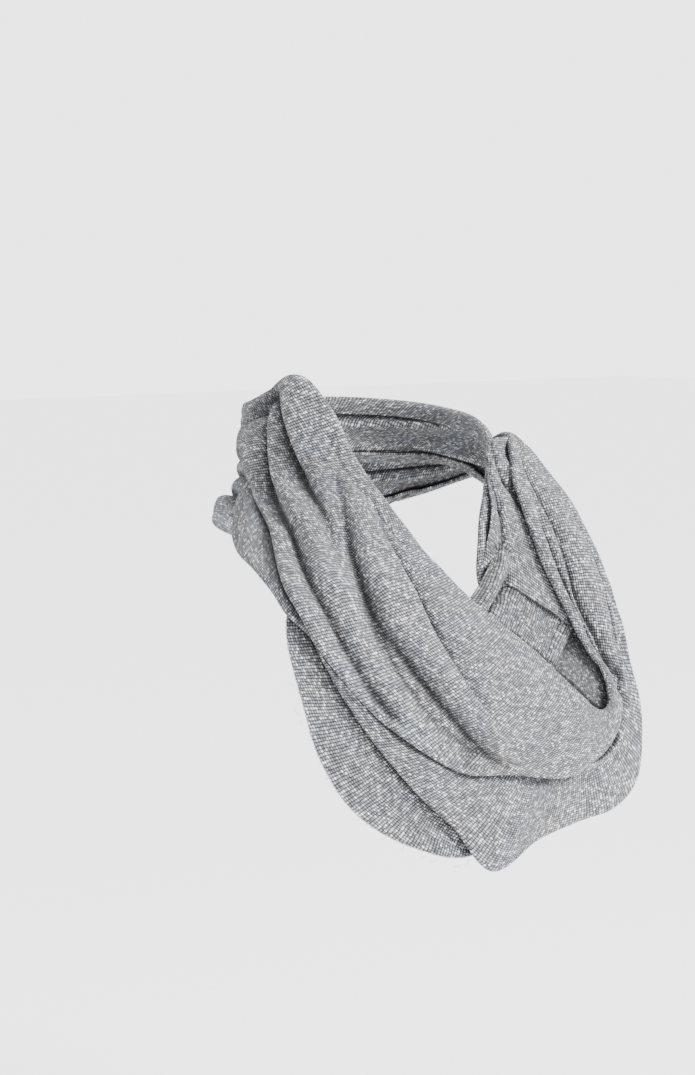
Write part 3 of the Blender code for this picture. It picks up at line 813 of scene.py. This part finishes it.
class Bench:
    """Places and joins nodes in one tree."""

    def __init__(self, tree):
        self.tree = tree

    def node(self, kind, values=(), **settings):
        made = self.tree.nodes.new(kind)
        for name, value in settings.items():
            setattr(made, name, value)
        for socket, value in dict(values).items():
            self.feed(made.inputs[socket], value)
        return made

    def out(self, kind, values=(), **settings):
        return self.node(kind, values, **settings).outputs[0]

    def feed(self, socket, value):
        if isinstance(value, bpy.types.NodeSocket):
            self.tree.links.new(value, socket)
        else:
            socket.default_value = value

    def sum(self, operation, first, second=0.0):
        return self.out("ShaderNodeMath", {0: first, 1: second}, operation=operation)

    def times(self, first, second):
        return self.sum("MULTIPLY", first, second)

    def plus(self, first, second):
        return self.sum("ADD", first, second)

    def vector(self, operation, first, second):
        return self.out("ShaderNodeVectorMath", {0: first, 1: second}, operation=operation)

    def between(self, value, low, high, low_gives=0.0, high_gives=1.0):
        return self.out("ShaderNodeMapRange", {0: value, 1: low, 2: high, 3: low_gives, 4: high_gives})

    def noise(self, spot, scale, detail, roughness=0.5):
        return self.node("ShaderNodeTexNoise", {"Vector": spot, "Scale": scale, "Detail": detail,
                                                "Roughness": roughness}).outputs

    def mix(self, share, first, second, way="MIX"):
        return self.node("ShaderNodeMix", {0: share, 6: first, 7: second}, data_type="RGBA",
                         blend_type=way).outputs[2]

    def half_wave(self, value):
        """Rises and falls once over each whole step of the value."""
        return self.sum("SINE", self.times(self.sum("FRACT", value), math.pi))

    def steps(self, value, stops):
        made = self.node("ShaderNodeValToRGB", {0: value})
        ramp = made.color_ramp
        while len(ramp.elements) < len(stops):
            ramp.elements.new(0.5)
        for element, (position, colour) in zip(ramp.elements, stops):
            element.position = position
            element.color = (*colour, 1.0)
        return made.outputs[0]


def new_group(name, kind, inputs, outputs):
    """A node group with its named inputs and outputs; gives the group, its bench and its ends."""
    group = bpy.data.node_groups.new(name, kind)
    for label, socket_type, value in inputs:
        socket = group.interface.new_socket(label, in_out="INPUT", socket_type="NodeSocket" + socket_type)
        if value is not None:
            socket.default_value = value
    for label, socket_type in outputs:
        group.interface.new_socket(label, in_out="OUTPUT", socket_type="NodeSocket" + socket_type)
    bench = Bench(group)
    return group, bench, bench.node("NodeGroupInput").outputs, bench.node("NodeGroupOutput").inputs


def new_material(name):
    """A material, its bench and its shader's inputs."""
    material = bpy.data.materials.new(name)
    material.use_nodes = True
    return material, Bench(material.node_tree), material.node_tree.nodes["Principled BSDF"].inputs


# Marl: the yarn's colours, from near black to near white, by the tone of the spun fibres.
YARN_COLOURS = (
    (0.0, (0.11, 0.114, 0.124)),
    (0.35, (0.22, 0.226, 0.24)),
    (0.62, (0.32, 0.327, 0.34)),
    (0.8, (0.5, 0.506, 0.516)),
    (0.95, (0.95, 0.95, 0.95)),
)
STITCH_SHARE = 0.86   # how much of the tone belongs to a whole stitch; the rest runs along the yarn
COOL_PATCH = (0.95, 0.985, 1.045, 1.0)
WARM_PATCH = (1.02, 0.99, 0.97, 1.0)
PATCH_SIZE = (38.0, 3.0)      # scale and detail, as in the next line
FUZZ_SIZE = (2600.0, 2.0)
# How the rows of stitches are pulled out of line. Columns: scale, detail, reach in metres.
PULLS = ((55.0, 2.0, (0.0018, 0.0016, 0.0)), (420.0, 1.0, (0.0006, 0.0008, 0.0)))
# Ranges. Columns: from, to; what the two ends give, where it isn't 0 and 1.
YARN_RANGE = (0.28, 0.72)
PATCH_RANGE = (0.35, 0.68)
FUZZ_ROUGHNESS = (0.0, 1.0, 0.78, 0.98)
RIB_LIGHT = (0.0, 1.0, 0.24, 2.2)     # painted light on the ribs, from painted shade in the gaps to a painted highlight on the ridges
# Painted light: hollows darkened as painted shade, crests lightened as a painted highlight.
HOLLOW_LIGHT = (-1.0, -0.1, 0.5, 1.0)
CREST_LIGHT = (0.15, 1.0, 1.0, 1.14)
# Painted shade: how dark a point that cloth closes in is painted.
CREASE_LIGHT = (0.16, 0.66, 1.0, 0.25)
STITCH_ROUND = 1.3    # above 1 the stitches are narrow ridges
LEAST_HEIGHT = 0.15   # of a rib between two stitches, beside 1 on a stitch
FUZZ_HEIGHT = 0.35
UNEVEN_HEIGHT = 0.12  # by which the stitches differ
KNIT_DEPTH = 0.0007   # metres from the top of the knit to the gaps between its stitches
SPECK = 0.55          # how light a yarn's darker specks are


def marl_knit_group():
    """Ribbed marl knit: courses of stitches whose yarn runs from near black to near white, with painted
    light and shade on its ribs, crests, hollows and creases and by the piece's tone.
    """
    group, bench, given, put_out = new_group("marl_ribbed_knit", "ShaderNodeTree", (
        ("Place", "Vector", None), ("Rib Pitch", "Float", RIB_PITCH * MM),
        ("Stitch Pitch", "Float", STITCH_PITCH * MM), ("Fleck Length", "Float", 0.0024),
        ("Rib Depth", "Float", 1.0), ("Painted Shade Tone", "Float", 1.0), ("Relief", "Float", 0.0),
        ("Painted Shade", "Float", 0.0)), (("Colour", "Color"), ("Roughness", "Float"), ("Height", "Float")))
    times, plus = bench.times, bench.plus
    place_on = given["Place"]
    pulled = place_on
    for scale, detail, reach in PULLS:
        off = bench.vector("SUBTRACT", bench.noise(place_on, scale, detail)["Color"], (0.5, 0.5, 0.5))
        pulled = bench.vector("ADD", pulled, bench.vector("MULTIPLY", off, reach))
    spot = bench.node("ShaderNodeSeparateXYZ", {0: pulled}).outputs

    course = bench.sum("DIVIDE", spot["X"], given["Rib Pitch"])
    wale = bench.sum("DIVIDE", spot["Y"], given["Stitch Pitch"])
    row, column = bench.sum("FLOOR", course), bench.sum("FLOOR", wale)
    rib, stitch = bench.half_wave(course), bench.half_wave(wale)

    stitch_cell = bench.out("ShaderNodeCombineXYZ", {0: row, 1: column, 2: 3.7})
    stitch_tone = bench.node("ShaderNodeTexWhiteNoise", {"Vector": stitch_cell}).outputs["Value"]
    on_yarn = bench.sum("DIVIDE", spot["Y"], given["Fleck Length"])
    yarn_spot = bench.out("ShaderNodeCombineXYZ", {0: times(row, 7.31), 1: on_yarn, 2: 1.3})
    yarn_tone = bench.between(bench.noise(yarn_spot, 1.0, 2.0, 0.6)["Fac"], *YARN_RANGE)
    fleck = plus(times(yarn_tone, 1 - STITCH_SHARE), times(stitch_tone, STITCH_SHARE))
    yarn = bench.steps(fleck, YARN_COLOURS)
    patch = bench.between(bench.noise(place_on, *PATCH_SIZE)["Fac"], *PATCH_RANGE)
    yarn = bench.mix(1.0, yarn, bench.mix(patch, COOL_PATCH, WARM_PATCH), "MULTIPLY")

    ridge, knot = (bench.sum("POWER", wave, STITCH_ROUND) for wave in (rib, stitch))
    bulk = times(ridge, plus(LEAST_HEIGHT, times(knot, 1 - LEAST_HEIGHT)))
    # Painted light on the knit's own relief: shade between the stitches, a highlight on their ridges.
    light = bench.between(bulk, *RIB_LIGHT)
    light = plus(1.0, times(bench.sum("SUBTRACT", light, 1.0), given["Rib Depth"]))
    # Painted shade in hollows and a painted highlight on crests.
    hollow_shade = bench.between(given["Relief"], *HOLLOW_LIGHT)
    crest = bench.between(given["Relief"], *CREST_LIGHT)
    light = times(light, times(hollow_shade, crest))
    # Painted shade in creases and along the shaded lines.
    painted_shade = bench.between(given["Painted Shade"], *CREASE_LIGHT)
    # Painted shade of the whole piece, by its tone.
    light = times(light, times(painted_shade, given["Painted Shade Tone"]))
    grey = bench.out("ShaderNodeCombineColor", {0: light, 1: light, 2: light})
    bench.feed(put_out["Colour"], bench.mix(1.0, yarn, grey, "MULTIPLY"))

    fuzz = bench.noise(place_on, *FUZZ_SIZE)["Fac"]
    bench.feed(put_out["Roughness"], bench.between(fuzz, *FUZZ_ROUGHNESS))
    height = plus(times(bulk, given["Rib Depth"]), times(fuzz, FUZZ_HEIGHT))
    bench.feed(put_out["Height"], plus(height, times(stitch_tone, UNEVEN_HEIGHT)))
    return group


def knit_material(name, group, bump, crease_shade_share, values):
    """A knit finish on the piece's own map, with painted shade in creases, along shade lines and by its
    tone, and painted light on crests and in hollows.
    """
    material, bench, shader = new_material(name)
    place_on = bench.out("ShaderNodeUVMap", uv_map="knit_map")
    rise, painted_shade, shade = (bench.node("ShaderNodeAttribute", attribute_name=stored).outputs["Fac"]
                         for stored in ("relief", "crease", "shade"))
    # Painted shade: closed-in creases and the painted shade lines together.
    painted_shade = bench.plus(bench.times(painted_shade, crease_shade_share), shade)
    knit = bench.node("ShaderNodeGroup")
    knit.node_tree = group
    for socket, value in {"Place": place_on, "Relief": rise, "Painted Shade": painted_shade, **values}.items():
        bench.feed(knit.inputs[socket], value)
    lumps = bench.out("ShaderNodeBump", {"Height": knit.outputs["Height"], "Strength": bump,
                                         "Distance": KNIT_DEPTH})
    bench.feed(shader["Base Color"], knit.outputs["Colour"])
    bench.feed(shader["Roughness"], knit.outputs["Roughness"])
    bench.feed(shader["Normal"], lumps)
    shader["Specular IOR Level"].default_value = 0.25
    shader["Sheen Weight"].default_value = 0.25
    shader["Sheen Roughness"].default_value = 0.5
    shader["Sheen Tint"].default_value = (1.0, 1.0, 1.0, 1.0)
    return material


def pale_material(name, grey, roughness, glow):
    """A plain surface that the camera sees as evenly lit as the room round it."""
    material, bench, shader = new_material(name)
    shader["Base Color"].default_value = (grey, grey, grey, 1.0)
    shader["Roughness"].default_value = roughness
    shader["Emission Color"].default_value = (1.0, 1.0, 1.0, 1.0)
    seen = bench.node("ShaderNodeLightPath").outputs["Is Camera Ray"]
    bench.feed(shader["Emission Strength"], bench.times(seen, glow))
    return material


def plain_yarn(name, colour):
    """A single yarn with darker specks."""
    material, bench, shader = new_material(name)
    spot = bench.node("ShaderNodeTexCoord").outputs["Object"]
    speck = bench.noise(spot, 900.0, 1.0)["Fac"]
    darker = tuple(SPECK * value for value in colour)
    bench.feed(shader["Base Color"], bench.mix(speck, (*darker, 1.0), (*colour, 1.0)))
    shader["Roughness"].default_value = 0.9
    shader["Sheen Weight"].default_value = 0.3
    return material


# ---------------------------------------------------------------- hem and seam

def edging_group():
    """Small arcs of yarn along a line of points, each turned outwards and a little uneven."""
    group, bench, given, put_out = new_group("yarn_arcs", "GeometryNodeTree", (
        ("Geometry", "Geometry", None), ("Pitch", "Float", 0.002), ("Arc Radius", "Float", 0.0007),
        ("Arc Sweep", "Float", math.pi), ("Yarn Radius", "Float", 0.0002), ("Tilt", "Float", 0.3),
        ("Unevenness", "Float", 0.25), ("Seed", "Int", 1), ("Material", "Material", None)),
        (("Geometry", "Geometry"),))
    line = bench.out("GeometryNodeMeshToCurve", {"Mesh": given["Geometry"]})
    line = bench.out("GeometryNodeResampleCurve", {"Curve": line, "Length": given["Pitch"]},
                     mode="LENGTH")
    spots = bench.node("GeometryNodeCurveToPoints", {"Curve": line}, mode="EVALUATED").outputs
    outward_way = bench.out("GeometryNodeInputNamedAttribute", {"Name": "outward"},
                            data_type="FLOAT_VECTOR")
    upright = bench.out("FunctionNodeAlignRotationToVector", {"Vector": outward_way}, axis="Z")
    along = bench.out("FunctionNodeAlignRotationToVector",
                      {"Rotation": upright, "Vector": spots["Tangent"]}, axis="X", pivot_axis="Z")
    least = bench.times(given["Tilt"], -1.0)
    tilt = bench.out("FunctionNodeRandomValue", {0: least, 1: given["Tilt"], 8: given["Seed"]},
                     data_type="FLOAT_VECTOR")
    turned = bench.out("FunctionNodeRotateRotation", {"Rotation": along, "Rotate By": tilt},
                       rotation_space="LOCAL")
    smallest = bench.sum("SUBTRACT", 1.0, given["Unevenness"])
    largest = bench.plus(1.0, given["Unevenness"])
    size = bench.node("FunctionNodeRandomValue", {2: smallest, 3: largest, 8: given["Seed"]},
                      data_type="FLOAT").outputs[1]
    arc = bench.out("GeometryNodeCurveArc", {
        "Resolution": 7, "Radius": given["Arc Radius"], "Start Angle": 0.0,
        "Sweep Angle": given["Arc Sweep"]})
    round_yarn = bench.out("GeometryNodeCurvePrimitiveCircle", {
        "Resolution": 5, "Radius": given["Yarn Radius"]})
    yarn = bench.out("GeometryNodeCurveToMesh", {
        "Curve": arc, "Profile Curve": round_yarn, "Fill Caps": True})
    yarn = bench.out("GeometryNodeTransform", {"Geometry": yarn, "Rotation": (math.pi / 2, 0.0, 0.0)})
    arcs = bench.out("GeometryNodeInstanceOnPoints", {
        "Points": spots["Points"], "Instance": yarn, "Rotation": turned, "Scale": size})
    arcs = bench.out("GeometryNodeRealizeInstances", {"Geometry": arcs})
    arcs = bench.out("GeometryNodeSetMaterial", {"Geometry": arcs, "Material": given["Material"]})
    bench.feed(put_out["Geometry"], arcs)
    return group


def yarn_arcs(name, group, points, outwards, values):
    """The arcs along a line, as a mesh of its own."""
    line = bpy.data.meshes.new(name + "_line")
    line.from_pydata((points * MM).tolist(), [(k, k + 1) for k in range(len(points) - 1)], [])
    attribute = line.attributes.new("outward", "FLOAT_VECTOR", "POINT")
    attribute.data.foreach_set("vector", outwards.astype(np.float32).ravel())
    holder = add_object(name + "_line", line)
    modifier = holder.modifiers.new("arcs", "NODES")
    modifier.node_group = group
    for item in group.interface.items_tree:
        if item.in_out == "INPUT" and item.name in values:
            modifier[item.identifier] = values[item.name]
    scene_now = bpy.context.evaluated_depsgraph_get()
    mesh = bpy.data.meshes.new_from_object(holder.evaluated_get(scene_now))
    mesh.name = name
    bpy.data.objects.remove(holder)
    bpy.data.meshes.remove(line)
    return add_object(name, mesh)


def flap_edge(name, side, first, last):
    """Points on one edge of a flap, the ways out of the cloth there and the cloth's normals."""
    rows = next(flap[1] for flap in FLAPS if flap[0] == name)
    grid, along = flap_points(rows, *EDGE_POINTS)[:2]
    skin = wall_normals(grid)
    middle = (EDGE_POINTS[0] // 2, EDGE_POINTS[1] // 2)
    if np.dot(skin[middle][:2], grid[middle][:2]) < 0:
        skin = -skin
    column, inner = (-1, -1 - EDGE_COLUMNS) if side else (0, EDGE_COLUMNS)
    share = along[:, 0] / along.max()
    kept = (share >= first) & (share <= last)
    away = unit(grid[:, column] - grid[:, inner])
    return (grid[:, column] - 0.5 * WALL * skin[:, column])[kept], away[kept], skin[:, column][kept]


def make_edging():
    """The raw hem's loops and stray fibres, and the stitches along the tab's seam."""
    group = edging_group()
    pale = plain_yarn("pale_yarn", (0.9, 0.9, 0.92))
    dark = plain_yarn("seam_thread", (0.16, 0.165, 0.18))
    pieces = []
    for name, flap, side, first, last, inset, values in EDGINGS:
        points, away, skin = flap_edge(flap, side, first, last)
        points = points - inset * away
        material = pale
        if name == SEAM:
            points, away, material = points + 0.5 * WALL * skin, skin, dark
        pieces.append(yarn_arcs(name, group, points, away, {**values, "Material": material}))
    return pieces


# ---------------------------------------------------------------- studio

def view_ways(azimuth, elevation):
    """The direction from the origin to a viewer, and the one to the viewer's right."""
    turn, rise = math.radians(azimuth), math.radians(elevation)
    back = Vector((math.sin(turn) * math.cos(rise), -math.cos(turn) * math.cos(rise), math.sin(rise)))
    return back, Vector((math.cos(turn), math.sin(turn), 0.0))


def set_up(name, data, place_at, back):
    """A lamp or camera, turned so that back points out of its back."""
    made = add_object(name, data)
    made.location = place_at
    made.rotation_mode = "QUATERNION"
    made.rotation_quaternion = back.to_track_quat("Z", "Y")
    return made


def make_camera():
    """A camera that looks at a point beside the origin."""
    back, right = view_ways(CAMERA_TURN, CAMERA_RISE)
    aside, above = (pixels / PIXELS_A_METRE for pixels in PICTURE_MIDDLE)
    data = bpy.data.cameras.new("studio_camera")
    data.sensor_fit = "AUTO"
    data.sensor_width = SENSOR
    data.lens = SENSOR * CAMERA_DISTANCE / (PICTURE_HEIGHT / PIXELS_A_METRE)
    place_at = right * aside + back.cross(right) * above + back * CAMERA_DISTANCE
    bpy.context.scene.camera = set_up("studio_camera", data, place_at, back)


def make_studio():
    """The white room, its soft lights and its floor."""
    world = bpy.data.worlds.new("studio_white")
    world.use_nodes = True
    bench = Bench(world.node_tree)
    background = world.node_tree.nodes["Background"].inputs
    background["Color"].default_value = (1.0, 1.0, 1.0, 1.0)
    seen = bench.node("ShaderNodeLightPath").outputs["Is Camera Ray"]
    bench.feed(background["Strength"], bench.between(seen, 0.0, 1.0, ROOM_LIGHT, PAPER_WHITE))
    bpy.context.scene.world = world
    for name, azimuth, elevation, distance, size, watts in LIGHTS:
        back = view_ways(azimuth, elevation)[0]
        data = bpy.data.lights.new(name, "AREA")
        data.shape = "DISK"
        data.size = size
        data.energy = watts
        set_up(name, data, back * distance, back)
    mesh = bpy.data.meshes.new("pale_floor")
    corners = [(x * FLOOR_REACH, y * FLOOR_REACH, FLOOR) for x, y in ((-1, -1), (1, -1), (1, 1), (-1, 1))]
    mesh.from_pydata(corners, [], [(0, 1, 2, 3)])
    mesh.materials.append(pale_material("pale_floor", FLOOR_GREY, 0.9, FLOOR_GLOW))
    add_object("pale_floor", mesh)


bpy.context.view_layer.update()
knit_group = marl_knit_group()
face_knit = knit_material("marl_knit_face", knit_group, 0.9, 1.0, {"Rib Depth": 1.15})
# Painted shade: a flap's tone below 1 darkens its knit for the shade it lies in, most of all on the
# tucked corner and the tab.
flap_knits = {
    "hem_flap": knit_material("marl_knit_hem", knit_group, 0.9, 0.75, {
        "Rib Pitch": 1.9 * MM, "Stitch Pitch": 1.5 * MM, "Rib Depth": 1.2, "Painted Shade Tone": 0.89}),
    "tucked_fold": knit_material("marl_knit_fold", knit_group, 0.9, 0.5, {
        "Rib Depth": 1.15, "Painted Shade Tone": 0.95}),
    "tucked_tab": knit_material("marl_knit_tab", knit_group, 0.8, 0.35, {
        "Rib Pitch": 1.7 * MM, "Rib Depth": 1.1, "Painted Shade Tone": 0.74}),
    "tucked_corner": knit_material("marl_knit_reverse_painted_shade", knit_group, 0.5, 0.5, {
        "Rib Pitch": 1.3 * MM, "Stitch Pitch": 0.9 * MM, "Rib Depth": 0.55, "Painted Shade Tone": 0.49}),
}
band = make_band(face_knit)
band_nodes = ("upper_sweep", "left_outer_fall", "lower_back_wrap", "lower_drape",
              "left_under_fall", "upper_back_wrap")
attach(band, "root")
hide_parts(*band_nodes)
flaps = []
for name, rows, count_along, count_across, flat in FLAPS:
    flap = make_flap(name, rows, count_along, count_across, flap_knits[name])
    flaps.append(flap)
    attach(flap, "root")
    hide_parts(name)

shade_creases([band] + flaps)
for edging in make_edging():
    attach(edging, "root")
make_studio()
make_camera()
